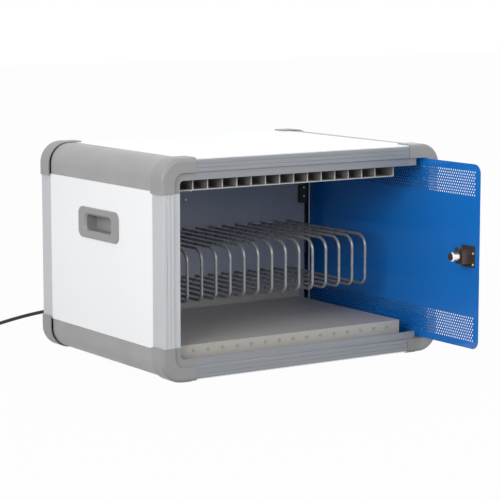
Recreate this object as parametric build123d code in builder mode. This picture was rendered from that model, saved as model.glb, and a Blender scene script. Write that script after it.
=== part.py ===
from build123d import *
import math
import os

os.makedirs("parts", exist_ok=True)

# Overall sizes, in millimetres
frame_width = 656
frame_depth = 487
frame_height = 420
door_projection = 177

# Aluminium frame bars
band = 24
bar_depth = 40
bar_wall = 2.5
bar_edge = 2
bar_inner_edge = 1.2
bar_groove = 0.8
lip_width = 15
lip_set_back = 4
lip_thickness = 2.5

# Moulded corner caps
cap_width = 73
cap_height = 63
cap_side = 4.5
cap_face = 1.5
cap_round = 40
cap_edge = 8
cap_wall = 2.5
cap_front_wall = 6
cap_inner_round = 10
cap_web_round = 20
lip_corner = 8
spigot_length = 20
spigot_clearance = 0.3
stub_lip = 20

# Feet
foot_height = 1.5
foot_length = 28
foot_width = 27
foot_from_side = 56
foot_from_front = 22.5
foot_round = 6

# Long rounded edge covers between the caps
cover_reach = 59
cover_proud = 2
cover_wall = 2.5
cover_round = 41
cover_gap = 3
flange_overlap = 16

# Sheet panels
sheet = 2
edge_gap = 0.3
top_set_back = 2
rear_corner = 12

# Side grips
grip_length = 159
grip_height = 62
grip_depth = 26
grip_round = 15
grip_behind = frame_depth / 2 + 3.5
grip_above = frame_height - 144
grip_open_length = 100
grip_open_height = 31
grip_open_round = 9
grip_rim = 3
grip_crown = 2.5
grip_dish = 4
grip_floor = 2.5
grip_undercut = 9

# Inner walls, tray and cable comb
liner_from_side = band + 10
wall_behind = frame_depth - 102
wall_end = frame_width - band - 38
wall_foot = 3
tray_front = 23
tray_top = band + 38
tray_end = wall_end - 16
tray_upstand = 14
comb_bottom = frame_height - band - 37
comb_depth = 102
comb_end = wall_end - 34
comb_height = 31
comb_divider = 2.5
comb_hanger_left = 100
comb_hanger_right = comb_end - 20

# Sixteen device slots share one pitch
slot_count = 16
slot_first = 46.1
slot_pitch = (wall_end - 48.4 - slot_first) / (slot_count - 1)
loops_per_rack = 4

# Wire loops
wire = 6
loop_front = 98
loop_top = frame_height / 2 + 22
loop_bottom = 130
loop_top_round = 25
loop_bottom_round = 16
loop_rail = 3
loop_rail_reach = 8

# Charging lamps in the tray front
lamp = 6.4
lamp_above = tray_top - 11.5
lamp_collar = 9
lamp_proud = 1
lamp_length = 6

# Door
door_inner = frame_width - band - 12
door_thickness = 1
door_bottom = band + 1
door_height = frame_height - 2 * door_bottom
door_length = wall_behind + door_projection + 45
door_corner = 18
hole = 3.8
hole_pitch = 6.7
hole_row_pitch = 5.7
hole_rows = 9
hole_margin = 17
band_low = door_bottom + 39
band_high = frame_height - band_low

# Slide channels and glide shoes
channel_outer = frame_width - band
channel_inner = channel_outer - 7.5
channel_wall = 1.3
channel_height = 30
channel_mouth = 19.4
channel_bottom = band + 16
channel_front = 6
channel_back = frame_depth - 9
shoe_clearance = 0.3
shoe_front = wall_behind + 53
shoe_length = 36

# Follower strip and its hinge to the door
strip_front = wall_behind + 13
strip_width = 13.2
strip_inner = door_inner - 5
strip_thickness = 3
strip_bottom = band + 6
arm_height = 16
arm_end = channel_outer - 2
arm_thickness = 4
hinge_across = door_inner - 3.5
hinge_behind = strip_front + 16
knuckle = 5
hinge_pin = 2.4
knuckle_bore = hinge_pin + 0.1
hinge_bottom = 70
knuckle_count = 10
knuckle_length = (frame_height - 2 * hinge_bottom) / knuckle_count
leaf_end = strip_front + 31
leaf_thickness = 2

# Door lock
lock_ahead = 143
lock_above = frame_height / 2 + 2
spindle = 12
lock_bore = spindle + 0.1
lock_box_front = 156
lock_box_back = 134
lock_box_bottom = lock_above - 15
lock_box_top = lock_above + 14
lock_box_chamfer = 5
lock_box_reach = 25
lock_plate = 1.5
lock_plate_front = 164.5
lock_plate_back = 124
lock_plate_bottom = lock_above - 23
lock_plate_top = lock_above + 20
neck = 15
neck_length = 1.5
cam_thickness = 3
cam_width = 12
cam_reach = 18
cam_gap = 0.5
barrel = 19.5
barrel_length = 15
barrel_round = 3
end_ring = 13.5
end_ring_length = 1.5
rose = 26
rose_thickness = 2
key_head = 3.5
key_slot = 1.6
lock_screw = 5
lock_screw_height = 1.6
lock_screw_ahead = 160
lock_screws_above = (lock_above - 17, lock_above + 5.5)

# Door sensor on the back wall
sensor_left = wall_end - 18
sensor_width = 17
sensor_depth = 12
sensor_bottom = frame_height - 150
sensor_height = 39
sensor_screw = 5
sensor_screw_height = 1.2
sensor_screws_above = (sensor_bottom + 15, sensor_bottom + 34)

# Rear panel fittings
gland_across = 95
gland_above = band + 30
gland_bore = 14.6
gland_thread = 14
gland_nut = 22
gland_collar = 24
gland_collar_length = 4
relief_length = 40
relief_root = 14
relief_tip = 9
switch_across = 165
switch_above = 90
switch_width = 22
switch_height = 14.6
switch_wall = 2
switch_flange = 4
switch_flange_thickness = 2
switch_depth = 18
rocker_clearance = 0.3
rocker_half = 6
rocker_front = 3
rocker_back = 3.5
rocker_tilt = 9
rocker_valley = 1.2
vent_slots = 9
vent_length = 90
vent_width = 4
vent_pitch = 12
vent_across = frame_width * 0.64
vent_above = frame_height * 0.6
supply_left = 130
supply_width = 200
supply_bottom = 100
supply_height = 95
supply_depth = 42

# Mains lead
lead = 7.5
tie_thickness = 1.0
tie_width = 8
tie_clearance = 0.2
coil_outer = 51
coil_step = (lead + 0.7) / 2
coil_layer = lead + 0.5
coil_half_turns = 5
coil_exit = 37
plug_length = 36
plug_width = 26
plug_nose = 4
pin_length = 18
pin = 4.8
pin_pitch = 19

# The frame stands on its feet, centred under the door and caps
left = -frame_width / 2
front = (door_projection - frame_depth - cap_face) / 2
base = cap_side + foot_height
mid_depth = front + frame_depth / 2
mid_height = base + frame_height / 2
side_plane = Plane.YZ
depth_plane = Plane((0, mid_depth, 0), z_dir=(0, 1, 0))
height_plane = Plane((0, 0, mid_height), z_dir=(0, 0, 1))


def across(distance):
    return left + distance


def behind(distance):
    return front + distance


def above(distance):
    return base + distance


def block(x_range, y_range, z_range, mode=Mode.ADD):
    """Adds or takes a box between distances from the frame's left, front and underside."""
    centre = (across(sum(x_range) / 2), behind(sum(y_range) / 2), above(sum(z_range) / 2))
    size = (x_range[1] - x_range[0], y_range[1] - y_range[0], z_range[1] - z_range[0])
    with Locations(centre):
        Box(*size, mode=mode)


def rod(x, y, z, diameter, length, direction, mode=Mode.ADD):
    """Adds or takes a round bar that starts at a point and runs along a direction."""
    with Locations(Plane((across(x), behind(y), above(z)), z_dir=direction)):
        Cylinder(diameter / 2, length, align=(Align.CENTER, Align.CENTER, Align.MIN), mode=mode)


def save(piece, name):
    piece.label = name
    export_step(piece, f"parts/{name}.step")


def mirrored(piece, *planes):
    """Copies a piece across each plane in turn."""
    for plane in planes:
        piece = mirror(piece, about=plane)
    return piece


# Frame bars: hollow, with a set-back lip that the closed door lies against
def bar_section(plane, x_side, lip):
    """Draws one bar's section: first coordinate across the band, second into the depth."""
    with BuildSketch(plane) as section:
        with Locations((x_side + band / 2, front + bar_depth / 2)):
            outer = Rectangle(band, bar_depth)
        fillet(outer.vertices().sort_by(lambda corner: corner.X + corner.Y)[0], bar_edge)
        fillet(section.vertices().sort_by(lambda corner: corner.X - corner.Y)[-1], bar_inner_edge)
        with Locations((x_side + band / 2, front + bar_depth / 2)):
            Rectangle(band - 2 * bar_wall, bar_depth - 2 * bar_wall, mode=Mode.SUBTRACT)
        for share in (1 / 3, 2 / 3):
            with Locations((x_side + band * share, front)):
                Rectangle(bar_groove, bar_groove, mode=Mode.SUBTRACT)
        if lip:
            lip_centre = (x_side + band + lip_width / 2, front + lip_set_back + lip_thickness / 2)
            with Locations(lip_centre):
                Rectangle(lip_width, lip_thickness)
    return section.sketch


def make_post(lip):
    section = bar_section(Plane.XY.offset(above(cap_height)), left, lip)
    with BuildPart() as post:
        extrude(section, amount=frame_height - 2 * cap_height)
    return post.part


def make_rail():
    rail_plane = Plane((across(cap_width), 0, 0), x_dir=(0, 0, 1), z_dir=(1, 0, 0))
    with BuildPart() as rail:
        with BuildSketch(rail_plane) as section:
            with Locations((base + band / 2, -front - bar_depth / 2)):
                outer = Rectangle(band, bar_depth)
            fillet(outer.vertices().sort_by(lambda corner: corner.X - corner.Y)[0], bar_edge)
            fillet(section.vertices().sort_by(lambda corner: corner.X + corner.Y)[-1], bar_inner_edge)
            with Locations((base + band / 2, -front - bar_depth / 2)):
                Rectangle(band - 2 * bar_wall, bar_depth - 2 * bar_wall, mode=Mode.SUBTRACT)
            for share in (1 / 3, 2 / 3):
                with Locations((base + band * share, -front)):
                    Rectangle(bar_groove, bar_groove, mode=Mode.SUBTRACT)
            lip_centre = (base + band + lip_width / 2, -front - lip_set_back - lip_thickness / 2)
            with Locations(lip_centre):
                Rectangle(lip_width, lip_thickness)
        extrude(amount=frame_width - 2 * cap_width)
    return rail.part


lipped_post = make_post(lip=True)
plain_post = make_post(lip=False)
rail = make_rail()
save(lipped_post, "post_front_left")
save(mirrored(plain_post, side_plane), "post_front_right")
save(mirrored(lipped_post, depth_plane), "post_rear_left")
save(mirrored(lipped_post, side_plane, depth_plane), "post_rear_right")
save(rail, "rail_front_bottom")
save(mirrored(rail, height_plane), "rail_front_top")
save(mirrored(rail, depth_plane), "rail_rear_bottom")
save(mirrored(rail, height_plane, depth_plane), "rail_rear_top")


# Corner caps: proud, rounded, hollow from behind, with a spigot into each bar
def make_cap(full_lip):
    rear = Plane.XZ.offset(-behind(bar_depth))
    with BuildPart() as cap:
        with BuildSketch(rear) as outline:
            with BuildLine():
                Polyline(
                    (across(-cap_side), above(-cap_side)),
                    (across(cap_width), above(-cap_side)),
                    (across(cap_width), above(band)),
                    (across(band), above(band)),
                    (across(band), above(cap_height)),
                    (across(-cap_side), above(cap_height)),
                    close=True,
                )
            make_face()
            corners = outline.vertices().sort_by(lambda corner: corner.X + corner.Y)
            fillet(corners[0], cap_round + cap_side)
            inner = outline.vertices().sort_by_distance((across(band), above(band)))[0]
            fillet(inner, cap_inner_round)
        extrude(amount=bar_depth + cap_face)
        front_edges = cap.faces().sort_by(Axis.Y)[0].edges()
        outer_edges = front_edges.filter_by(
            lambda edge: edge.center().X < across(-cap_side / 2)
            or edge.center().Z < above(-cap_side / 2)
            or edge.geom_type == GeomType.CIRCLE and edge.radius > cap_round
        )
        fillet(outer_edges, cap_edge)
        with BuildSketch(rear) as pocket:
            with BuildLine():
                Polyline(
                    (across(cap_wall - cap_side), above(cap_wall - cap_side)),
                    (across(cap_width - cap_wall), above(cap_wall - cap_side)),
                    (across(cap_width - cap_wall), above(band - cap_wall)),
                    (across(band - cap_wall), above(band - cap_wall)),
                    (across(band - cap_wall), above(cap_height - cap_wall)),
                    (across(cap_wall - cap_side), above(cap_height - cap_wall)),
                    close=True,
                )
            make_face()
            corners = pocket.vertices().sort_by(lambda corner: corner.X + corner.Y)
            fillet(corners[0], cap_round + cap_side - cap_wall)
        extrude(amount=bar_depth - cap_front_wall, mode=Mode.SUBTRACT)
        lip_depth = (lip_set_back, lip_set_back + lip_thickness)
        if full_lip:
            with BuildSketch(Plane.XZ.offset(-behind(lip_depth[1]))) as lip:
                with BuildLine():
                    Polyline(
                        (across(band), above(band)),
                        (across(cap_width), above(band)),
                        (across(cap_width), above(band + lip_width)),
                        (across(band + lip_width), above(band + lip_width)),
                        (across(band + lip_width), above(cap_height)),
                        (across(band), above(cap_height)),
                        close=True,
                    )
                make_face()
                inside = (across(band + lip_width), above(band + lip_width))
                fillet(lip.vertices().sort_by_distance(inside)[0], lip_corner)
            extrude(amount=lip_thickness)
            web_end = band + cap_web_round
            with BuildSketch(Plane.XZ.offset(-behind(lip_set_back))):
                with Locations((across(band), above(band))):
                    Rectangle(cap_web_round, cap_web_round, align=(Align.MIN, Align.MIN))
                with Locations((across(web_end), above(web_end))):
                    Circle(cap_web_round, mode=Mode.SUBTRACT)
            extrude(amount=lip_set_back + cap_face)
        else:
            block((cap_width - stub_lip, cap_width), lip_depth, (band, band + lip_width))
        inset = bar_wall + spigot_clearance
        spigot_band = (inset, band - inset)
        spigot_depth = (inset, bar_depth - inset)
        block(spigot_band, spigot_depth, (cap_height, cap_height + spigot_length))
        block((cap_width, cap_width + spigot_length), spigot_depth, spigot_band)
    return cap.part


lipped_cap = make_cap(full_lip=True)
stub_cap = make_cap(full_lip=False)
save(lipped_cap, "cap_front_left_bottom")
save(mirrored(lipped_cap, height_plane), "cap_front_left_top")
save(mirrored(stub_cap, side_plane), "cap_front_right_bottom")
save(mirrored(stub_cap, side_plane, height_plane), "cap_front_right_top")
save(mirrored(lipped_cap, depth_plane), "cap_rear_left_bottom")
save(mirrored(lipped_cap, depth_plane, height_plane), "cap_rear_left_top")
save(mirrored(lipped_cap, depth_plane, side_plane), "cap_rear_right_bottom")
save(mirrored(lipped_cap, depth_plane, side_plane, height_plane), "cap_rear_right_top")

# Four flat feet under the lower caps
with BuildPart() as foot_pads:
    with BuildSketch(Plane.XY):
        foot_x = frame_width / 2 - foot_from_side
        foot_y = frame_depth / 2 - foot_from_front
        for x in (-foot_x, foot_x):
            for y in (mid_depth - foot_y, mid_depth + foot_y):
                with Locations((x, y)):
                    RectangleRounded(foot_length, foot_width, foot_round)
    extrude(amount=foot_height)
save(foot_pads.part, "foot_pads")


# Rounded edge covers along the depth, with flanges behind the panels
def make_cover():
    centre = (across(cover_round), above(cover_round - cover_proud))
    inner = cover_round - cover_wall
    with BuildPart() as cover:
        with BuildSketch(Plane.XZ.offset(-behind(bar_depth + cover_gap))):
            with BuildLine():
                Line((across(0), above(cover_reach)), (across(0), centre[1]))
                CenterArc(centre, cover_round, 180, 90)
                Polyline(
                    (centre[0], above(-cover_proud)),
                    (across(cover_reach), above(-cover_proud)),
                    (across(cover_reach), above(cover_wall - cover_proud)),
                    (centre[0], above(cover_wall - cover_proud)),
                )
                CenterArc(centre, inner, 180, 90)
                Polyline(
                    (across(cover_wall), centre[1]),
                    (across(cover_wall), above(cover_reach)),
                    (across(0), above(cover_reach)),
                )
            make_face()
        extrude(amount=-(frame_depth - 2 * bar_depth - 2 * cover_gap))
        along = (bar_depth, frame_depth - bar_depth)
        overlap = (cover_reach - 2 * cover_wall, cover_reach + flange_overlap)
        block((sheet, sheet + cover_wall), along, overlap)
        block(overlap, along, (0, cover_wall))
    return cover.part


cover = make_cover()
save(cover, "cover_left_bottom")
save(mirrored(cover, height_plane), "cover_left_top")
save(mirrored(cover, side_plane), "cover_right_bottom")
save(mirrored(cover, side_plane, height_plane), "cover_right_top")

# Side panels with a hole for the grip cup
grip_collar = 3
panel_depth = (bar_depth + edge_gap, frame_depth - bar_depth - edge_gap)
panel_height = (cover_reach + edge_gap, frame_height - cover_reach - edge_gap)
with BuildPart() as side_panel:
    block((0, sheet), panel_depth, panel_height)
    with BuildSketch(Plane.YZ.offset(across(0))):
        with Locations((behind(grip_behind), above(grip_above))):
            RectangleRounded(grip_length - 2 * grip_collar, grip_height - 2 * grip_collar, grip_round - grip_collar)
    extrude(amount=sheet, mode=Mode.SUBTRACT)
save(side_panel.part, "panel_left")
save(mirrored(side_panel.part, side_plane), "panel_right")

# Top and bottom panels, notched round the cap legs
top_range = (cap_width + edge_gap, frame_width - cap_width - edge_gap)
top_wide = (cover_reach + edge_gap, frame_width - cover_reach - edge_gap)
with BuildPart() as top_panel:
    block(top_range, (top_set_back, frame_depth - top_set_back), (frame_height, frame_height + sheet))
    block(top_wide, panel_depth, (frame_height, frame_height + sheet))
save(top_panel.part, "panel_top")
save(mirrored(top_panel.part, height_plane), "panel_bottom")

# Grips: a dished rim with a finger cup that is undercut above
cup_length = grip_length - 2 * grip_collar - 2 * edge_gap
cup_height = grip_height - 2 * grip_collar - 2 * edge_gap
grip_plane = Plane((across(-grip_rim), behind(grip_behind), above(grip_above)), x_dir=(0, 1, 0), z_dir=(1, 0, 0))
with BuildPart() as grip:
    with BuildSketch(grip_plane):
        RectangleRounded(grip_length, grip_height, grip_round)
    extrude(amount=grip_rim)
    fillet(grip.faces().sort_by(Axis.X)[0].edges(), grip_crown)
    with BuildSketch(grip_plane):
        RectangleRounded(cup_length, cup_height, grip_round - grip_collar - edge_gap)
    extrude(amount=grip_rim + grip_depth)
    with BuildSketch(grip_plane):
        RectangleRounded(grip_open_length + 2 * grip_dish, grip_open_height + 2 * grip_dish, grip_open_round + grip_dish)
    with BuildSketch(grip_plane.offset(grip_dish)):
        RectangleRounded(grip_open_length, grip_open_height, grip_open_round)
    loft(mode=Mode.SUBTRACT)
    with BuildSketch(grip_plane.offset(grip_dish)):
        RectangleRounded(grip_open_length, grip_open_height, grip_open_round)
    extrude(amount=grip_rim + grip_depth - grip_dish - grip_floor, mode=Mode.SUBTRACT)
    undercut = (grip_dish, grip_depth - grip_floor)
    half_open = grip_open_length / 2 - grip_open_round
    block(
        undercut,
        (grip_behind - half_open, grip_behind + half_open),
        (grip_above, grip_above + grip_open_height / 2 + grip_undercut),
        mode=Mode.SUBTRACT,
    )
save(grip.part, "grip_left")
save(mirrored(grip.part, side_plane), "grip_right")

# Inner left wall, from the front lip to the back wall
inner_height = (band, frame_height - band)
with BuildPart() as liner:
    block((liner_from_side, liner_from_side + sheet), (lip_set_back + lip_thickness, wall_behind), inner_height)
save(liner.part, "inner_wall_left")

# Back wall of the compartment, with the wire loops' rail and a return that closes off the door pocket
slots = [slot_first + slot_pitch * index for index in range(slot_count)]
rear_inner = frame_depth - lip_set_back - lip_thickness
with BuildPart() as back_wall:
    wall_height = (wall_foot, frame_height - wall_foot)
    block((liner_from_side, wall_end), (wall_behind, wall_behind + sheet), wall_height)
    rail_run = (slots[0] - loop_rail_reach, slots[-1] + loop_rail_reach)
    block(rail_run, (wall_behind - loop_rail, wall_behind), (loop_top - wire / 2, loop_top + wire / 2))
    block((wall_end - sheet, wall_end), (wall_behind, rear_inner - sheet), inner_height)
save(back_wall.part, "back_wall")

# Floor tray with lamp holes in its front
tray_left = liner_from_side + sheet
with BuildPart() as tray:
    block((tray_left, tray_end), (tray_front, wall_behind), (tray_top - sheet, tray_top))
    block((tray_left, tray_end), (tray_front, tray_front + sheet), (band, tray_top))
    block((tray_end - sheet, tray_end), (tray_front, wall_behind), (band, tray_top))
    block((tray_left, tray_end), (wall_behind - sheet, wall_behind), (tray_top, tray_top + tray_upstand))
    for slot in slots:
        rod(slot, tray_front - sheet, lamp_above, lamp, 3 * sheet, (0, 1, 0), mode=Mode.SUBTRACT)
save(tray.part, "floor_tray")

with BuildPart() as lamps:
    for slot in slots:
        rod(slot, tray_front - lamp_proud, lamp_above, lamp, lamp_length, (0, 1, 0))
        rod(slot, tray_front + sheet, lamp_above, lamp_collar, sheet, (0, 1, 0))
save(lamps.part, "lamp_lenses")

# Cable comb under the roof, one cell for each device
with BuildPart() as comb:
    comb_run = (tray_front, tray_front + comb_depth)
    cell_height = (comb_bottom + sheet, comb_bottom + sheet + comb_height)
    block((tray_left, comb_end), comb_run, (comb_bottom, comb_bottom + sheet))
    for slot in slots[:-1]:
        block((slot - comb_divider / 2, slot + comb_divider / 2), comb_run, cell_height)
    block((comb_end - comb_divider, comb_end), comb_run, cell_height)
    comb_rear = (comb_run[1] - sheet, comb_run[1])
    block((tray_left, comb_end), comb_rear, cell_height)
    block((comb_hanger_left, comb_hanger_right), comb_rear, (cell_height[0], frame_height))
save(comb.part, "cable_comb")


# Wire loops that hold the devices apart, welded to the back wall
def make_rack(first):
    with BuildPart() as rack:
        for slot in slots[first : first + loops_per_rack]:
            with BuildLine(Plane.YZ.offset(across(slot))) as path:
                FilletPolyline(
                    (behind(wall_behind - loop_rail), above(loop_top)),
                    (behind(loop_front), above(loop_top)),
                    (behind(loop_front), above(loop_bottom)),
                    (behind(wall_behind), above(loop_bottom)),
                    radius=[loop_top_round, loop_bottom_round],
                )
            with BuildSketch(Plane(path.line @ 0, z_dir=path.line % 0)):
                Circle(wire / 2)
            sweep(path=path.line)
    return rack.part


for rack_index in range(slot_count // loops_per_rack):
    save(make_rack(rack_index * loops_per_rack), f"wire_loops_{rack_index + 1}")

# Door: one sheet with two perforated bands
door_free = -door_projection
door_back = door_length - door_projection
hole_columns = int((door_length - 2 * hole_margin) / hole_pitch)
with BuildPart() as door:
    with BuildSketch(Plane.YZ.offset(across(door_inner))) as face:
        door_low = (behind(door_free), above(door_bottom))
        with Locations(door_low):
            Rectangle(door_length, door_height, align=(Align.MIN, Align.MIN))
        fillet(face.vertices().sort_by(Axis.X)[:2], door_corner)
        for band_centre in (band_low, band_high):
            for row in range(hole_rows):
                stagger = hole_pitch / 2 if row % 2 else 0
                row_above = band_centre + (row - (hole_rows - 1) / 2) * hole_row_pitch
                row_centre = (behind(door_free + hole_margin + stagger), above(row_above))
                with Locations(row_centre):
                    with GridLocations(hole_pitch, 0, hole_columns, 1, align=(Align.MIN, Align.CENTER)):
                        Circle(hole / 2, mode=Mode.SUBTRACT)
        with Locations((behind(-lock_ahead), above(lock_above))):
            Circle(lock_bore / 2, mode=Mode.SUBTRACT)
    extrude(amount=door_thickness)
save(door.part, "door_panel")


# Slide channels on the right-hand posts
def make_channel():
    middle = channel_bottom + channel_height / 2
    along = (channel_front, channel_back)
    with BuildPart() as channel:
        block((channel_inner, channel_outer), along, (channel_bottom, channel_bottom + channel_height))
        block(
            (channel_inner + channel_wall, channel_outer - channel_wall),
            along,
            (channel_bottom + channel_wall, channel_bottom + channel_height - channel_wall),
            mode=Mode.SUBTRACT,
        )
        mouth = (middle - channel_mouth / 2, middle + channel_mouth / 2)
        block((channel_inner, channel_inner + channel_wall), along, mouth, mode=Mode.SUBTRACT)
    return channel.part


channel = make_channel()
save(channel, "slide_channel_bottom")
save(mirrored(channel, height_plane), "slide_channel_top")

# Glide shoes that run in the channels
channel_middle = channel_bottom + channel_height / 2
slide_heights = (channel_middle, frame_height - channel_middle)
shoe_half = channel_height / 2 - channel_wall - shoe_clearance
shoe_across = (channel_inner + channel_wall + shoe_clearance, channel_outer - channel_wall - shoe_clearance)
with BuildPart() as shoes:
    for height in slide_heights:
        block(shoe_across, (shoe_front, shoe_front + shoe_length), (height - shoe_half, height + shoe_half))
save(shoes.part, "glide_shoes")

# Follower strip that ties the two shoes together and carries half the hinge
strip_across = (strip_inner, strip_inner + strip_thickness)
knuckle_gap = edge_gap / 2
with BuildPart() as strip:
    strip_depth = (strip_front, strip_front + strip_width)
    block(strip_across, strip_depth, (strip_bottom, frame_height - strip_bottom))
    for height in slide_heights:
        arm = (height - arm_height / 2, height + arm_height / 2)
        block(strip_across, (strip_depth[1], shoe_front), arm)
        block((strip_inner, arm_end), (shoe_front - arm_thickness, shoe_front), arm)
    for index in range(0, knuckle_count, 2):
        low = hinge_bottom + index * knuckle_length + knuckle_gap
        tall = knuckle_length - 2 * knuckle_gap
        rod(hinge_across, hinge_behind, low, knuckle, tall, (0, 0, 1))
        block(strip_across, (strip_depth[1], hinge_behind), (low, low + tall))
        rod(hinge_across, hinge_behind, low, knuckle_bore, tall, (0, 0, 1), mode=Mode.SUBTRACT)
save(strip.part, "follower_strip")

with BuildPart() as leaf:
    leaf_across = (door_inner - leaf_thickness, door_inner)
    leaf_root = hinge_behind + knuckle / 2 + edge_gap
    hinge_height = (hinge_bottom, hinge_bottom + knuckle_count * knuckle_length)
    block(leaf_across, (leaf_root, leaf_end), hinge_height)
    for index in range(1, knuckle_count, 2):
        low = hinge_bottom + index * knuckle_length + knuckle_gap
        tall = knuckle_length - 2 * knuckle_gap
        rod(hinge_across, hinge_behind, low, knuckle, tall, (0, 0, 1))
        block(leaf_across, (hinge_behind, leaf_root), (low, low + tall))
        rod(hinge_across, hinge_behind, low, knuckle_bore, tall, (0, 0, 1), mode=Mode.SUBTRACT)
save(leaf.part, "hinge_leaf")

with BuildPart() as pin_rod:
    hinge_length = hinge_height[1] - hinge_height[0]
    rod(hinge_across, hinge_behind, hinge_bottom, hinge_pin, hinge_length, (0, 0, 1))
save(pin_rod.part, "hinge_pin")

# Lock case on the door's inner face
with BuildPart() as lock_case:
    case_across = (door_inner - lock_box_reach, door_inner)
    block(case_across, (-lock_box_front, -lock_box_back), (lock_box_bottom, lock_box_top))
    top_edges = lock_case.edges().group_by(Axis.Z)[-1]
    chamfer(top_edges.sort_by(Axis.X)[:-1], lock_box_chamfer)
    plate_across = (door_inner - lock_plate, door_inner)
    block(plate_across, (-lock_plate_front, -lock_plate_back), (lock_plate_bottom, lock_plate_top))
    rod(door_inner, -lock_ahead, lock_above, lock_bore, lock_box_reach, (-1, 0, 0), mode=Mode.SUBTRACT)
save(lock_case.part, "lock_case")

with BuildPart() as lock_screws:
    for height in lock_screws_above:
        rod(door_inner - lock_plate, -lock_screw_ahead, height, lock_screw, lock_screw_height, (-1, 0, 0))
save(lock_screws.part, "lock_screws")

with BuildPart() as lock_rose:
    rose_face = door_inner + door_thickness
    rod(rose_face, -lock_ahead, lock_above, rose, rose_thickness, (1, 0, 0))
    rod(rose_face, -lock_ahead, lock_above, lock_bore, rose_thickness, (1, 0, 0), mode=Mode.SUBTRACT)
save(lock_rose.part, "lock_rose")

# Turning core of the lock: spindle with neck and end ring, cam and bright barrel
case_face = door_inner - lock_box_reach
neck_end = case_face - edge_gap - neck_length
barrel_end = neck_end - cam_thickness - barrel_length
core_end = barrel_end - end_ring_length
key_face = rose_face + key_head
with BuildPart() as spindle_core:
    rod(core_end, -lock_ahead, lock_above, spindle, key_face - core_end, (1, 0, 0))
    rod(case_face - edge_gap, -lock_ahead, lock_above, neck, neck_length, (-1, 0, 0))
    rod(barrel_end, -lock_ahead, lock_above, end_ring, end_ring_length, (-1, 0, 0))
    slot_half = key_slot / 2
    key_reach = spindle / 3
    block(
        (key_face - rose_thickness, key_face),
        (-lock_ahead - slot_half, -lock_ahead + slot_half),
        (lock_above - key_reach, lock_above + key_reach),
        mode=Mode.SUBTRACT,
    )
save(spindle_core.part, "lock_spindle")

with BuildPart() as lock_cam:
    cam_across = (neck_end - cam_thickness, neck_end)
    block(cam_across, (-lock_ahead - cam_width / 2, -lock_ahead + cam_width / 2), (lock_above, lock_above + cam_reach))
    rod(neck_end, -lock_ahead, lock_above, barrel, cam_thickness, (-1, 0, 0))
    rod(neck_end, -lock_ahead, lock_above, spindle, cam_thickness, (-1, 0, 0), mode=Mode.SUBTRACT)
save(lock_cam.part, "lock_cam")

with BuildPart() as lock_barrel:
    rod(cam_across[0], -lock_ahead, lock_above, barrel, barrel_length, (-1, 0, 0))
    fillet(lock_barrel.faces().sort_by(Axis.X)[0].edges(), barrel_round)
    rod(cam_across[0], -lock_ahead, lock_above, spindle, barrel_length, (-1, 0, 0), mode=Mode.SUBTRACT)
save(lock_barrel.part, "lock_barrel")

# Door sensor on the back wall
sensor_front = wall_behind - sensor_depth
with BuildPart() as sensor:
    block(
        (sensor_left, sensor_left + sensor_width),
        (sensor_front, wall_behind),
        (sensor_bottom, sensor_bottom + sensor_height),
    )
    fillet(sensor.edges().filter_by(Axis.Y), bar_edge)
save(sensor.part, "door_sensor")

with BuildPart() as sensor_screws:
    for height in sensor_screws_above:
        rod(sensor_left + sensor_width / 2, sensor_front, height, sensor_screw, sensor_screw_height, (0, -1, 0))
save(sensor_screws.part, "sensor_screws")

# Rear panel inside the rear lips, with vents and holes for the electrical fittings
rear_face = frame_depth - lip_set_back - lip_thickness
rear_plane = Plane.XZ.offset(-behind(rear_face))
with BuildPart() as rear_panel:
    with BuildSketch(rear_plane):
        rear_width = frame_width - 2 * band - 2 * edge_gap
        rear_height = frame_height - 2 * band - 2 * edge_gap
        with Locations((0, mid_height)):
            RectangleRounded(rear_width, rear_height, rear_corner)
        with Locations((across(gland_across), above(gland_above))):
            Circle(gland_bore / 2, mode=Mode.SUBTRACT)
        with Locations((across(switch_across), above(switch_above))):
            Rectangle(
                switch_width + 2 * switch_wall + edge_gap,
                switch_height + 2 * switch_wall + edge_gap,
                mode=Mode.SUBTRACT,
            )
        with Locations((across(vent_across), above(vent_above))):
            with GridLocations(0, vent_pitch, 1, vent_slots):
                SlotOverall(vent_length, vent_width, mode=Mode.SUBTRACT)
    extrude(amount=sheet)
save(rear_panel.part, "panel_rear")

# Power switch: a flanged frame and a rocker that tips about a level axis
with BuildPart() as switch_frame:
    flange_half_width = switch_width / 2 + switch_flange
    flange_half_height = switch_height / 2 + switch_flange
    block(
        (switch_across - flange_half_width, switch_across + flange_half_width),
        (rear_face, rear_face + switch_flange_thickness),
        (switch_above - flange_half_height, switch_above + flange_half_height),
    )
    body_half_width = switch_width / 2 + switch_wall
    body_half_height = switch_height / 2 + switch_wall
    block(
        (switch_across - body_half_width, switch_across + body_half_width),
        (rear_face - switch_depth, rear_face),
        (switch_above - body_half_height, switch_above + body_half_height),
    )
    block(
        (switch_across - switch_width / 2, switch_across + switch_width / 2),
        (rear_face - switch_depth + switch_wall, rear_face + switch_flange_thickness),
        (switch_above - switch_height / 2, switch_above + switch_height / 2),
        mode=Mode.SUBTRACT,
    )
save(switch_frame.part, "switch_frame")

rocker_behind = rear_face + switch_flange_thickness / 2
rocker_origin = (across(switch_across), behind(rocker_behind), above(switch_above))
tilt = math.radians(rocker_tilt)
rocker_plane = Plane(rocker_origin, x_dir=(0, math.cos(tilt), math.sin(tilt)), z_dir=(1, 0, 0))
with BuildPart() as rocker:
    with BuildSketch(rocker_plane):
        with BuildLine():
            Polyline(
                (-rocker_back, -rocker_half),
                (rocker_front, -rocker_half),
                (rocker_front - rocker_valley, 0),
                (rocker_front, rocker_half),
                (-rocker_back, rocker_half),
                close=True,
            )
        make_face()
    extrude(amount=switch_width / 2 - rocker_clearance, both=True)
save(rocker.part, "switch_rocker")

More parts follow.
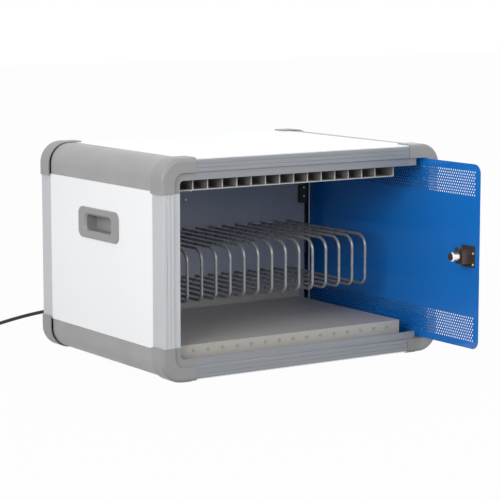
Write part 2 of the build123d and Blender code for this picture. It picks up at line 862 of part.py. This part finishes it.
# Charging supply behind the back wall
supply_front = wall_behind + sheet
with BuildPart() as supply:
    block(
        (supply_left, supply_left + supply_width),
        (supply_front, supply_front + supply_depth),
        (supply_bottom, supply_bottom + supply_height),
    )
    fillet(supply.edges().filter_by(Axis.Y), bar_edge)
save(supply.part, "charging_supply")

# Cable gland with a tapered strain relief
gland_start = rear_face - sheet - gland_collar_length
relief_start = rear_face + gland_collar_length
relief_end = relief_start + relief_length
with BuildPart() as gland:
    rod(gland_across, gland_start, gland_above, gland_nut, gland_collar_length, (0, 1, 0))
    rod(gland_across, gland_start, gland_above, gland_thread, rear_face - gland_start, (0, 1, 0))
    rod(gland_across, rear_face, gland_above, gland_collar, gland_collar_length, (0, 1, 0))
    with Locations(Plane((across(gland_across), behind(relief_start), above(gland_above)), z_dir=(0, 1, 0))):
        Cone(relief_root / 2, relief_tip / 2, relief_length, align=(Align.CENTER, Align.CENTER, Align.MIN))
save(gland.part, "cable_gland")

# Route of the mains lead from the strain relief to the start of its coil
coil_height = lead / 2 + tie_thickness + tie_clearance
exit_x = across(gland_across)
exit_y = behind(relief_end)
route = [
    (exit_x, exit_y, above(gland_above)),
    (exit_x, exit_y + 43, above(gland_above)),
    (exit_x - 33, exit_y + 73.5, 53),
    (exit_x - 95, exit_y + 81.5, 43.5),
    (exit_x - 165, exit_y + 81.5, 30),
    (exit_x - 245, exit_y + 81.5, 12.5),
    (exit_x - 300, exit_y + 81.5, coil_height),
    (exit_x - 345, exit_y + 81.5, coil_height),
]


def corner_radii(points):
    """Gives each corner the largest arc that its two runs allow."""
    radii = []
    for before, corner, after in zip(points, points[1:], points[2:]):
        run_in = Vector(*corner) - Vector(*before)
        run_out = Vector(*after) - Vector(*corner)
        half_turn = math.radians(run_in.get_angle(run_out)) / 2
        radii.append(0.45 * min(run_in.length, run_out.length) / math.tan(half_turn))
    return radii


lead_radii = corner_radii(route)
with BuildPart() as lead_run:
    with BuildLine() as lead_path:
        FilletPolyline(*route, radius=lead_radii)
    with BuildSketch(Plane(lead_path.line @ 0, z_dir=lead_path.line % 0)):
        Circle(lead / 2)
    sweep(path=lead_path.line)
save(lead_run.part, "mains_lead")
lead_section = math.pi * (lead / 2) ** 2
lead_length = lead_path.wire().length
print("lead radii", [round(radius, 1) for radius in lead_radii])
print("lead length", round(lead_length, 1), "volume ratio", round(lead_run.part.volume / (lead_section * lead_length), 4))

# Put-away coil: two layers of half turns that step in, climb once and step out again
coil_start = (route[-1][0] - lead, route[-1][1], coil_height)
inward = [coil_outer - coil_step * index for index in range(coil_half_turns)]
climb_radius = coil_outer - coil_step * coil_half_turns
half_turn_radii = inward + [climb_radius] + inward[::-1]


def climb(start, end, heading):
    """Joins two level points by two tangent arcs that rise from one to the other."""
    chord = Vector(*end) - Vector(*start)
    middle = (Vector(*start) + Vector(*end)) / 2 + Vector(heading, 0, 0) * (chord.length / 2)
    first = TangentArc(start, middle, tangent=(heading, 0, 0))
    TangentArc(middle, end, tangent=first % 1)


with BuildPart() as coil:
    with BuildLine() as coil_path:
        x, y, z = coil_start
        Line((x + lead, y, z), (x, y, z))
        for index, radius in enumerate(half_turn_radii):
            heading = -1 if index % 2 == 0 else 1
            next_y = y + 2 * radius * heading
            if index == coil_half_turns:
                climb((x, y, z), (x, next_y, z + coil_layer), heading)
                z = z + coil_layer
            else:
                middle = (x + radius * heading, (y + next_y) / 2, z)
                ThreePointArc((x, y, z), middle, (x, next_y, z))
            y = next_y
        coil_end = (x + coil_exit, y, z)
        Line((x, y, z), coil_end)
    with BuildSketch(Plane(coil_path.line @ 0, z_dir=coil_path.line % 0)):
        Circle(lead / 2)
    sweep(path=coil_path.line)
save(coil.part, "lead_coil")


def least_gap(line, diameter, steps):
    """Measures how near a tube's centre line comes to itself, less the tube's diameter."""
    spacing = line.length / steps
    skip = int(2.5 * diameter / spacing) + 1
    points = [line @ (index / steps) for index in range(steps + 1)]
    nearest = math.inf
    for index, point in enumerate(points):
        for other in points[index + skip :]:
            nearest = min(nearest, (point - other).length)
    return nearest - diameter


coil_length = coil_path.wire().length
print("coil least gap", round(least_gap(coil_path.wire(), lead, 900), 2))
print("coil length", round(coil_length, 1), "volume ratio", round(coil.part.volume / (lead_section * coil_length), 4))
print("whole lead", round(lead_length + coil_length, 1))

# Tie round the turns on the coil's far side
coil_middle_y = coil_start[1] - coil_outer - coil_step
tie_out = coil_start[0] - coil_outer - lead / 2 - tie_clearance
tie_bow = inward[-1] - math.sqrt(inward[-1] ** 2 - (tie_width / 2 + coil_step) ** 2)
tie_in = coil_start[0] - inward[-1] + tie_bow + lead / 2 + tie_clearance
tie_top = coil_height + coil_layer + lead / 2 + tie_clearance
with BuildPart() as tie:
    with Locations(((tie_out + tie_in) / 2, coil_middle_y, (tie_top + tie_thickness) / 2)):
        Box(tie_in - tie_out + 2 * tie_thickness, tie_width, tie_top + tie_thickness)
    with Locations(((tie_out + tie_in) / 2, coil_middle_y, (tie_top + tie_thickness) / 2)):
        Box(tie_in - tie_out, tie_width, tie_top - tie_thickness, mode=Mode.SUBTRACT)
save(tie.part, "coil_tie")

# Plug on the end of the coil, lying on the floor
plug_half = coil_end[2]
with BuildPart() as plug:
    with BuildSketch(Plane(coil_end, x_dir=(0, 1, 0), z_dir=(1, 0, 0))):
        Circle(lead)
    with BuildSketch(Plane(coil_end, x_dir=(0, 1, 0), z_dir=(1, 0, 0)).offset(plug_length / 3)):
        RectangleRounded(plug_width, 2 * plug_half, plug_nose)
    loft()
    with BuildSketch(Plane(coil_end, x_dir=(0, 1, 0), z_dir=(1, 0, 0)).offset(plug_length / 3)):
        RectangleRounded(plug_width, 2 * plug_half, plug_nose)
    extrude(amount=plug_length * 2 / 3)
    for side in (-1, 1):
        pin_start = (coil_end[0] + plug_length, coil_end[1] + side * pin_pitch / 2, coil_end[2])
        with Locations(Plane(pin_start, z_dir=(1, 0, 0))):
            Cylinder(pin / 2, pin_length, align=(Align.CENTER, Align.CENTER, Align.MIN))
save(plug.part, "mains_plug")
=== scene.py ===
import math

import bmesh
import bpy
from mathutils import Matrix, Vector


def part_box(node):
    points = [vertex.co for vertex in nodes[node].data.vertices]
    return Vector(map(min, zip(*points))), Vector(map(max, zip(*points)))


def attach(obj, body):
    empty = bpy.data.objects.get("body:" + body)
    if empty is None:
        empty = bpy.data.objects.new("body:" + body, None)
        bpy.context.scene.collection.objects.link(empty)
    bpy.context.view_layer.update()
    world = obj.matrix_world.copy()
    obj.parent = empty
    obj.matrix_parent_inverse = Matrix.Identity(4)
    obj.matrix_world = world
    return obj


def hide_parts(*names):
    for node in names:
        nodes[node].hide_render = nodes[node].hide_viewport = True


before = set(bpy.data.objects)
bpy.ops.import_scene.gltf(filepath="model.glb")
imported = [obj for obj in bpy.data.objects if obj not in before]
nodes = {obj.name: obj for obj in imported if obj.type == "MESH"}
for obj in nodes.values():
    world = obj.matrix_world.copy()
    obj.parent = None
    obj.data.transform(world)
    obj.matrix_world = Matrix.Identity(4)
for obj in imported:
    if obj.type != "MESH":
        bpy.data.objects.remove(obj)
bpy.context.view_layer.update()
scene = bpy.context.scene
MM = 0.001
WHITE = (1.0, 1.0, 1.0, 1.0)

# Camera at the photograph's place
CAMERA_PLACE = (-2.21685, -3.28654, 0.76944)
CAMERA_HEADING = math.radians(-33.64)
CAMERA_DROP = math.radians(7.94)
CAMERA_LENS = 141.8
SENSOR_WIDTH = 36.0
CLIP_END = 50.0


def make_camera():
    data = bpy.data.cameras.new("camera")
    data.lens = CAMERA_LENS
    data.sensor_width = SENSOR_WIDTH
    data.clip_end = CLIP_END
    camera = bpy.data.objects.new("camera", data)
    camera.location = CAMERA_PLACE
    camera.rotation_euler = (math.pi / 2 - CAMERA_DROP, 0.0, CAMERA_HEADING)
    scene.collection.objects.link(camera)
    scene.camera = camera


make_camera()

# Mains lead: the route's points, then the turns of the put-away coil
LEAD = 7.5 * MM
TIE = 1.0 * MM
TIE_CLEARANCE = 0.2 * MM
COIL_HEIGHT = LEAD / 2 + TIE + TIE_CLEARANCE
ROUTE = [
    (-0.233, 0.36875, 0.060),
    (-0.233, 0.41175, 0.060),
    (-0.266, 0.44225, 0.053),
    (-0.328, 0.45025, 0.0435),
    (-0.398, 0.45025, 0.030),
    (-0.478, 0.45025, 0.0125),
    (-0.533, 0.45025, COIL_HEIGHT),
    (-0.578, 0.45025, COIL_HEIGHT),
]
COIL_OUTER = 51.0 * MM
COIL_STEP = 4.1 * MM
COIL_LAYER = 8.0 * MM
COIL_HALF_TURNS = 5
COIL_EXIT = 37.0 * MM
POINTS_PER_HALF_TURN = 8
LEAD_ROUNDNESS = 5
LEAD_STEPS = 8
LEAD_SMOOTHNESS = 3


def coil_points():
    """Gives the coil's control points, half turn by half turn, as the lead is wound."""
    inward = [COIL_OUTER - COIL_STEP * index for index in range(COIL_HALF_TURNS)]
    climb = COIL_OUTER - COIL_STEP * COIL_HALF_TURNS
    x = ROUTE[-1][0] - LEAD
    y, z = ROUTE[-1][1], COIL_HEIGHT
    step = math.pi / POINTS_PER_HALF_TURN
    points = []
    for index, radius in enumerate(inward + [climb] + inward[::-1]):
        side = -1 if index % 2 == 0 else 1
        centre_y = y + radius * side
        rise = COIL_LAYER if index == COIL_HALF_TURNS else 0.0
        corner = radius / math.cos(step / 2)
        for turn in range(POINTS_PER_HALF_TURN):
            angle = step * (turn + 0.5)
            share = (1 - math.cos(angle)) / 2
            points.append(
                (
                    x + side * corner * math.sin(angle),
                    centre_y - side * corner * math.cos(angle),
                    z + rise * share,
                )
            )
        y = centre_y + radius * side
        z = z + rise
    points.append((x + COIL_EXIT, y, z))
    return points


def make_lead():
    points = ROUTE + coil_points()
    curve = bpy.data.curves.new("mains_lead_line", "CURVE")
    curve.dimensions = "3D"
    # The points carry the radius, because the curve's box is grown by theirs
    curve.bevel_depth = 1.0
    curve.bevel_resolution = LEAD_ROUNDNESS
    curve.resolution_u = LEAD_STEPS
    curve.use_fill_caps = True
    spline = curve.splines.new("NURBS")
    spline.points.add(len(points) - 1)
    for point, place in zip(spline.points, points):
        point.co = (*place, 1.0)
        point.radius = LEAD / 2
    spline.order_u = LEAD_SMOOTHNESS
    spline.use_endpoint_u = True
    lead = bpy.data.objects.new("mains_lead_curve", curve)
    scene.collection.objects.link(lead)
    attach(lead, "cabinet")
    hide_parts("mains_lead", "lead_coil")
    return lead


lead = make_lead()

# Materials: each one is a node tree with its own grain, tone and surface relief
NO_STRETCH = (1.0, 1.0, 1.0)
NOISE_LOW = 0.3
NOISE_HIGH = 0.7
FINE_DETAIL = 2.0
LEAST_ROUGHNESS = 0.02
FRONT_FADES_AT = -0.6
FRONT_FULL_AT = -0.9
BEVEL_SAMPLES = 4


class Surface:
    """Builds one procedural material round a Principled shader."""

    def __init__(self, name, colour, roughness, metallic=0.0):
        self.material = bpy.data.materials.new(name)
        self.material.use_nodes = True
        self.tree = self.material.node_tree
        self.shader = self.tree.nodes["Principled BSDF"]
        self.shader.inputs["Base Color"].default_value = (*colour, 1.0)
        self.shader.inputs["Roughness"].default_value = roughness
        self.shader.inputs["Metallic"].default_value = metallic
        self.colour = colour
        self.roughness = roughness
        self.place = self.add("ShaderNodeTexCoord").outputs["Object"]

    def add(self, kind, **inputs):
        node = self.tree.nodes.new(kind)
        for key, value in inputs.items():
            node.inputs[key].default_value = value
        return node

    def link(self, source, target):
        self.tree.links.new(source, target)

    def noise(self, scale, detail, stretch):
        mapping = self.add("ShaderNodeMapping", Scale=stretch)
        self.link(self.place, mapping.inputs["Vector"])
        texture = self.add("ShaderNodeTexNoise", Scale=scale, Detail=detail)
        self.link(mapping.outputs["Vector"], texture.inputs["Vector"])
        return texture.outputs["Fac"]

    def ramp(self, source, low, high):
        ramp = self.add("ShaderNodeValToRGB")
        ramp.color_ramp.elements[0].position = NOISE_LOW
        ramp.color_ramp.elements[0].color = (*low, 1.0)
        ramp.color_ramp.elements[1].position = NOISE_HIGH
        ramp.color_ramp.elements[1].color = (*high, 1.0)
        self.link(source, ramp.inputs["Fac"])
        return ramp.outputs["Color"]

    def tone(self, scale, amount, stretch=NO_STRETCH, detail=3.0):
        """Lets the colour drift a little lighter and darker over the surface."""
        low = [channel * (1 - amount) for channel in self.colour]
        high = [min(1.0, channel * (1 + amount)) for channel in self.colour]
        colour = self.ramp(self.noise(scale, detail, stretch), low, high)
        self.link(colour, self.shader.inputs["Base Color"])

    def front(self, colour):
        """Paints faces that look forwards a tone of their own: painted light from the
        front. Comes after tone.
        """
        below = self.shader.inputs["Base Color"].links[0].from_socket
        facing = self.add("ShaderNodeSeparateXYZ")
        normal = self.add("ShaderNodeTexCoord").outputs["Normal"]
        self.link(normal, facing.inputs["Vector"])
        share = self.add("ShaderNodeMapRange")
        share.inputs["From Min"].default_value = FRONT_FADES_AT
        share.inputs["From Max"].default_value = FRONT_FULL_AT
        self.link(facing.outputs["Y"], share.inputs["Value"])
        mix = self.add("ShaderNodeMix")
        mix.data_type = "RGBA"
        colours = [socket for socket in mix.inputs if socket.type == "RGBA"]
        colours[1].default_value = (*colour, 1.0)
        self.link(share.outputs["Result"], mix.inputs["Factor"])
        self.link(below, colours[0])
        blended = [socket for socket in mix.outputs if socket.type == "RGBA"][0]
        self.link(blended, self.shader.inputs["Base Color"])

    def sheen(self, scale, amount, stretch=NO_STRETCH):
        """Lets the roughness drift over the surface."""
        least = max(LEAST_ROUGHNESS, self.roughness - amount)
        most = min(1.0, self.roughness + amount)
        spread = self.add("ShaderNodeMapRange")
        spread.inputs["From Min"].default_value = NOISE_LOW
        spread.inputs["From Max"].default_value = NOISE_HIGH
        spread.inputs["To Min"].default_value = least
        spread.inputs["To Max"].default_value = most
        self.link(self.noise(scale, FINE_DETAIL, stretch), spread.inputs["Value"])
        self.link(spread.outputs["Result"], self.shader.inputs["Roughness"])

    def relief(self, scale, strength, height, stretch=NO_STRETCH, edge=0.0):
        """Adds fine surface relief, over softly rounded edges where edge is a radius."""
        bump = self.add("ShaderNodeBump", Strength=strength, Distance=height)
        self.link(self.noise(scale, FINE_DETAIL, stretch), bump.inputs["Height"])
        if edge:
            bevel = self.add("ShaderNodeBevel", Radius=edge)
            bevel.samples = BEVEL_SAMPLES
            self.link(bevel.outputs["Normal"], bump.inputs["Normal"])
        self.link(bump.outputs["Normal"], self.shader.inputs["Normal"])


def anodised(name, colour, stretch):
    surface = Surface(name, colour, roughness=0.36, metallic=0.3)
    surface.tone(scale=1.0, amount=0.06, stretch=stretch, detail=4.0)
    surface.sheen(scale=1.0, amount=0.08, stretch=stretch)
    surface.relief(
        scale=2.0, strength=0.25, height=0.05 * MM, stretch=stretch, edge=1.2 * MM
    )
    return surface.material


def moulded(name, colour, roughness, grain=1400.0):
    surface = Surface(name, colour, roughness)
    surface.tone(scale=14.0, amount=0.04)
    surface.sheen(scale=30.0, amount=0.05)
    surface.relief(scale=grain, strength=0.25, height=0.08 * MM, edge=0.5 * MM)
    return surface.material


def powder_coated(name, colour, roughness, drift=0.03):
    surface = Surface(name, colour, roughness)
    surface.tone(scale=5.0, amount=drift)
    surface.sheen(scale=18.0, amount=0.04)
    surface.relief(scale=700.0, strength=0.18, height=0.08 * MM, edge=0.4 * MM)
    return surface.material


# Faces that look forwards get their own lighter tone: painted light from the front
def front_lit_tone(name, colour, front_light_colour, roughness):
    surface = Surface(name, colour, roughness)
    surface.tone(scale=9.0, amount=0.03)
    surface.front(front_light_colour)
    surface.sheen(scale=20.0, amount=0.04)
    surface.relief(scale=900.0, strength=0.2, height=0.06 * MM, edge=0.4 * MM)
    return surface.material


def drawn_wire(name, colour):
    surface = Surface(name, colour, roughness=0.28, metallic=0.35)
    surface.tone(scale=30.0, amount=0.05)
    surface.sheen(scale=40.0, amount=0.04)
    surface.relief(scale=60.0, strength=0.03, height=0.03 * MM)
    return surface.material


def plated(name, colour, roughness, metallic=1.0):
    surface = Surface(name, colour, roughness, metallic)
    surface.tone(scale=60.0, amount=0.05)
    surface.sheen(scale=80.0, amount=0.04)
    surface.relief(scale=300.0, strength=0.08, height=0.04 * MM, edge=0.4 * MM)
    return surface.material


def lamp_lens(name, colour, glow):
    surface = Surface(name, colour, roughness=0.3)
    surface.tone(scale=200.0, amount=0.10)
    surface.shader.inputs["Emission Color"].default_value = (*glow, 1.0)
    surface.shader.inputs["Emission Strength"].default_value = 0.02
    surface.relief(scale=500.0, strength=0.1, height=0.05 * MM, edge=0.4 * MM)
    return surface.material


# A bar's grain is drawn out along its length
ALONG_X = (12.0, 900.0, 900.0)
ALONG_Z = (900.0, 900.0, 12.0)
materials = {
    # One aluminium in two copies: the uprights lighter, as painted light on their sides,
    # and the rails darker, as painted shade on their fronts
    "post": anodised("anodised_upright_painted_light", (0.50, 0.515, 0.535), ALONG_Z),
    "rail": anodised("anodised_level_painted_shade", (0.26, 0.275, 0.295), ALONG_X),
    "cap": moulded("moulded_cap", (0.27, 0.27, 0.272), 0.42),
    "foot": moulded("foot_rubber_grain", (0.03, 0.03, 0.03), 0.8),
    "cover": moulded("moulded_cover", (0.30, 0.30, 0.30), 0.36),
    "white": powder_coated("white_coat", (0.82, 0.83, 0.84), 0.45, drift=0.01),
    "grip": moulded("moulded_grip", (0.26, 0.26, 0.26), 0.4),
    "inner": powder_coated("inner_coat", (0.29, 0.31, 0.37), 0.32),
    "tray": powder_coated("tray_coat", (0.41, 0.39, 0.37), 0.4),
    "lamp": lamp_lens("lamp_green_lens", (0.20, 0.36, 0.17), (0.35, 0.85, 0.45)),
    # The comb's faces that look forwards are painted lighter: painted light from the front
    "comb": front_lit_tone("comb_plastic", (0.34, 0.32, 0.30), (0.50, 0.50, 0.51), 0.45),
    "wire": drawn_wire("drawn_wire", (0.27, 0.27, 0.268)),
    "door": powder_coated("door_coat", (0.009, 0.165, 0.57), 0.13),
    "steel": plated("plated_steel", (0.62, 0.62, 0.62), 0.3),
    "glide": moulded("glide_plastic_grain", (0.72, 0.72, 0.70), 0.5),
    # The strip's blue is darker than the door's as painted shade in the pocket; faces that
    # look forwards are light grey, a bare cut edge with painted light from the front
    "strip": front_lit_tone("strip_painted_shade_and_lit_edge", (0.02, 0.07, 0.20), (0.80, 0.81, 0.84), 0.35),
    "lock": plated("dark_zinc", (0.085, 0.06, 0.045), 0.28, metallic=0.35),
    "chrome": plated("bright_chrome", (0.93, 0.89, 0.85), 0.2),
    "black": moulded("black_moulded", (0.02, 0.02, 0.02), 0.4),
    "rocker": moulded("rocker_moulded", (0.45, 0.02, 0.02), 0.25),
    "lead": moulded("lead_sheath", (0.018, 0.018, 0.02), 0.45, grain=900.0),
}

# The start of a node's name, and the material that it gets
finishes = {
    "post_": "post",
    "rail_": "rail",
    "cap_": "cap",
    "foot_pads": "foot",
    "cover_": "cover",
    "panel_": "white",
    "grip_": "grip",
    "inner_wall_left": "inner",
    "back_wall": "inner",
    "floor_tray": "tray",
    "lamp_lenses": "lamp",
    "cable_comb": "comb",
    "wire_loops": "wire",
    "door_panel": "door",
    "slide_channel": "steel",
    "glide_shoes": "glide",
    "follower_strip": "strip",
    "hinge_leaf": "strip",
    "hinge_pin": "steel",
    "lock_case": "lock",
    "lock_screws": "steel",
    "lock_rose": "steel",
    "lock_spindle": "lock",
    "lock_cam": "lock",
    "lock_barrel": "chrome",
    "door_sensor": "black",
    "sensor_screws": "steel",
    "switch_frame": "black",
    "switch_rocker": "rocker",
    "charging_supply": "black",
    "cable_gland": "lead",
    "coil_tie": "lead",
    "mains_plug": "lead",
}


def finish_nodes():
    for name, node in nodes.items():
        for start, finish in finishes.items():
            if name.startswith(start):
                node.data.materials.clear()
                node.data.materials.append(materials[finish])
    lead.data.materials.append(materials["lead"])


finish_nodes()

# Screw heads: domed, with a socket
TURN_STEPS = 32
# From the seat over the crown into the socket, as shares of the radius and height
SCREW_OUTLINE = [
    (1.0, 0.0),
    (1.0, 0.35),
    (0.94, 0.62),
    (0.80, 0.84),
    (0.62, 0.96),
    (0.42, 1.0),
    (0.42, 0.45),
]
TO_LEFT = (-1, 0, 0)
TO_FRONT = (0, -1, 0)
# Places on the back wall: from its left edge, and above the wire loops
WALL_SCREWS = [(252 * MM, 60 * MM), (264 * MM, 78 * MM)]
WALL_SCREW_RADIUS = 3 * MM
WALL_SCREW_HEIGHT = 1.6 * MM


def turned(name, profile, places, direction):
    """Turns one outline of (radius, height) points round each place, along a direction."""
    shape = bmesh.new()
    spin = Vector((0, 0, 1)).rotation_difference(Vector(direction)).to_matrix()
    for place in places:
        rings = []
        for radius, height in profile:
            ring = []
            for step in range(TURN_STEPS):
                angle = math.tau * step / TURN_STEPS
                across = radius * math.cos(angle), radius * math.sin(angle)
                point = Vector((*across, height))
                ring.append(shape.verts.new(Vector(place) + spin @ point))
            rings.append(ring)
        for low, high in zip(rings, rings[1:]):
            for step in range(TURN_STEPS):
                after = (step + 1) % TURN_STEPS
                shape.faces.new((low[step], low[after], high[after], high[step]))
        shape.faces.new(rings[0][::-1])
        shape.faces.new(rings[-1])
    bmesh.ops.recalc_face_normals(shape, faces=shape.faces)
    mesh = bpy.data.meshes.new(name)
    shape.to_mesh(mesh)
    shape.free()
    piece = bpy.data.objects.new(name, mesh)
    scene.collection.objects.link(piece)
    return piece


def screw_heads(name, radius, height, places, direction):
    outline = [(radius * across, height * up) for across, up in SCREW_OUTLINE]
    piece = turned(name, outline, places, direction)
    piece.data.materials.append(materials["steel"])
    return piece


def make_lock_screws():
    low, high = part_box("lock_screws")
    radius = (high.y - low.y) / 2
    middle_y = (low.y + high.y) / 2
    places = [
        (high.x, middle_y, low.z + radius),
        (high.x, middle_y, high.z - radius),
    ]
    piece = screw_heads("lock_screw_heads", radius, high.x - low.x, places, TO_LEFT)
    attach(piece, "door")
    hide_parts("lock_screws")


def make_sensor_screws():
    low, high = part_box("sensor_screws")
    radius = (high.x - low.x) / 2
    middle_x = (low.x + high.x) / 2
    places = [
        (middle_x, high.y, low.z + radius),
        (middle_x, high.y, high.z - radius),
    ]
    piece = screw_heads("sensor_screw_heads", radius, high.y - low.y, places, TO_FRONT)
    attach(piece, "cabinet")
    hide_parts("sensor_screws")


def make_wall_screws():
    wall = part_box("back_wall")[0]
    loops_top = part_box("wire_loops_1")[1].z
    places = [(wall.x + across, wall.y, loops_top + up) for across, up in WALL_SCREWS]
    piece = screw_heads(
        "wall_screw_heads", WALL_SCREW_RADIUS, WALL_SCREW_HEIGHT, places, TO_FRONT
    )
    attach(piece, "cabinet")


make_lock_screws()
make_sensor_screws()
make_wall_screws()

# Floor, sky and soft studio light. These rays see a white floor and sky
SEEN_RAYS = ("Is Camera Ray", "Is Glossy Ray", "Is Transmission Ray")
FLOOR_HALF = 12.0
FLOOR_GLOW = 0.97
FLOOR_TONE = 0.40
FLOOR_ROUGHNESS = 0.9
# As a light, the sky goes from dim in front to bright aside, and is bright above
SKY_FRONT = 0.22
SKY_SIDE = 0.95
SKY_SIDE_SPAN = (-0.95, -0.25)
SKY_TOP = 0.52
SKY_TOP_SPAN = (0.35, 0.85)
LAMPS_AIM = (0.0, 0.0, 0.2)
# Each lamp's place, size and power
LAMPS = {
    "key": ((-2.8, -1.6, 1.4), (1.6, 1.6), 50.0),
    "fill": ((0.8, -3.2, 1.6), (2.2, 1.6), 36.0),
    "overhead": ((0.0, 0.2, 3.0), (2.4, 2.4), 7.0),
    "rim": ((2.6, 1.6, 1.8), (1.6, 1.6), 20.0),
}


def seen_rays(tree):
    """Gives 1 for the rays in SEEN_RAYS, and 0 for those that light the object."""
    light_path = tree.nodes.new("ShaderNodeLightPath")
    seen = light_path.outputs[SEEN_RAYS[0]]
    for name in SEEN_RAYS[1:]:
        either = tree.nodes.new("ShaderNodeMath")
        either.operation = "MAXIMUM"
        tree.links.new(seen, either.inputs[0])
        tree.links.new(light_path.outputs[name], either.inputs[1])
        seen = either.outputs[0]
    return seen


def make_floor():
    mesh = bpy.data.meshes.new("floor")
    shape = bmesh.new()
    bmesh.ops.create_grid(shape, x_segments=1, y_segments=1, size=FLOOR_HALF)
    shape.to_mesh(mesh)
    shape.free()
    floor = bpy.data.objects.new("floor", mesh)
    scene.collection.objects.link(floor)
    material = bpy.data.materials.new("floor_white")
    material.use_nodes = True
    tree = material.node_tree
    shader = tree.nodes["Principled BSDF"]
    shader.inputs["Base Color"].default_value = (*[FLOOR_TONE] * 3, 1.0)
    shader.inputs["Roughness"].default_value = FLOOR_ROUGHNESS
    glow = tree.nodes.new("ShaderNodeEmission")
    glow.inputs["Color"].default_value = WHITE
    mix = tree.nodes.new("ShaderNodeMixShader")
    share = tree.nodes.new("ShaderNodeMath")
    share.operation = "MULTIPLY"
    share.inputs[1].default_value = FLOOR_GLOW
    output = tree.nodes["Material Output"]
    tree.links.new(seen_rays(tree), share.inputs[0])
    tree.links.new(share.outputs[0], mix.inputs["Fac"])
    tree.links.new(shader.outputs["BSDF"], mix.inputs[1])
    tree.links.new(glow.outputs["Emission"], mix.inputs[2])
    tree.links.new(mix.outputs["Shader"], output.inputs["Surface"])
    mesh.materials.append(material)


def make_world():
    world = bpy.data.worlds.new("studio")
    world.use_nodes = True
    tree = world.node_tree
    background = tree.nodes["Background"]
    background.inputs["Color"].default_value = WHITE
    direction = tree.nodes.new("ShaderNodeSeparateXYZ")
    place = tree.nodes.new("ShaderNodeTexCoord")
    tree.links.new(place.outputs["Generated"], direction.inputs["Vector"])

    def slope(axis, span, low, high):
        node = tree.nodes.new("ShaderNodeMapRange")
        node.inputs["From Min"].default_value = span[0]
        node.inputs["From Max"].default_value = span[1]
        node.inputs["To Min"].default_value = low
        node.inputs["To Max"].default_value = high
        tree.links.new(direction.outputs[axis], node.inputs["Value"])
        return node.outputs["Result"]

    light = tree.nodes.new("ShaderNodeMath")
    light.operation = "MAXIMUM"
    side_light = slope("Y", SKY_SIDE_SPAN, SKY_FRONT, SKY_SIDE)
    tree.links.new(side_light, light.inputs[0])
    top_light = slope("Z", SKY_TOP_SPAN, 0.0, SKY_TOP)
    tree.links.new(top_light, light.inputs[1])
    strength = tree.nodes.new("ShaderNodeMix")
    strength.data_type = "FLOAT"
    tree.links.new(seen_rays(tree), strength.inputs["Factor"])
    tree.links.new(light.outputs[0], strength.inputs["A"])
    strength.inputs["B"].default_value = 1.0
    tree.links.new(strength.outputs["Result"], background.inputs["Strength"])
    scene.world = world


def add_lamp(name, place, size, power):
    data = bpy.data.lights.new(name, "AREA")
    data.shape = "RECTANGLE"
    data.size, data.size_y = size
    data.energy = power
    lamp = bpy.data.objects.new(name, data)
    lamp.location = place
    direction = Vector(LAMPS_AIM) - Vector(place)
    lamp.rotation_euler = direction.to_track_quat("-Z", "Y").to_euler()
    scene.collection.objects.link(lamp)


make_floor()
make_world()
for lamp_name, (place, size, power) in LAMPS.items():
    add_lamp(lamp_name, place, size, power)

scene.view_settings.view_transform = "Standard"
